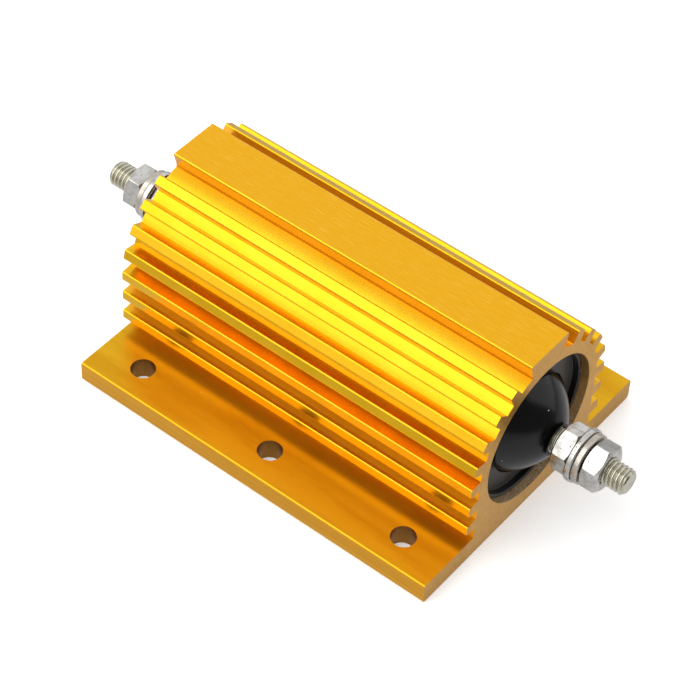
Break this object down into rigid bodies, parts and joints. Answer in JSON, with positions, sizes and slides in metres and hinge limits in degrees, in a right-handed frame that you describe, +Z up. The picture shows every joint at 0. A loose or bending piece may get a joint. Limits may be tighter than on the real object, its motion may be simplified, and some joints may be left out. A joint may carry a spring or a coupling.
{
  "type": "aluminium housed power resistor",
  "caption": "Wirewound power resistor potted in a finned, gold anodised aluminium extrusion with a flanged foot, domed black end bushings and bolted stud terminals.",
  "frame": {"origin": "centre of the underside of the flanged foot, on the mounting surface", "axes": "+X along the stud axis, +Y across the foot, +Z up from the mounting surface through the marking pad"},
  "size_m": [0.1364, 0.073, 0.045],
  "materials": {
    "gold_anodised_aluminium": "satin",
    "steatite": "matte",
    "resistance_wire": "satin",
    "silicate_cement": "matte",
    "black_moulding": "gloss",
    "plated_cap": "satin",
    "plated_stud": "satin",
    "plated_spring_steel": "satin",
    "nickel_plated_steel": "satin"
  },
  "bodies": {
    "root": {"housing": "gold_anodised_aluminium", "ceramic_core": "steatite", "resistance_winding": "resistance_wire", "potting": "silicate_cement", "end_cap_front": "plated_cap", "end_cap_rear": "plated_cap", "end_bushing_front": "black_moulding", "end_bushing_rear": "black_moulding", "terminal_stud_front": "plated_stud", "terminal_stud_rear": "plated_stud", "inner_nut_front": "nickel_plated_steel", "inner_nut_rear": "nickel_plated_steel", "flat_washer_front": "nickel_plated_steel", "flat_washer_rear": "nickel_plated_steel", "spring_washer_front": "plated_spring_steel", "spring_washer_rear": "plated_spring_steel", "outer_nut_front": "nickel_plated_steel", "outer_nut_rear": "nickel_plated_steel"}
  },
  "joints": []
}
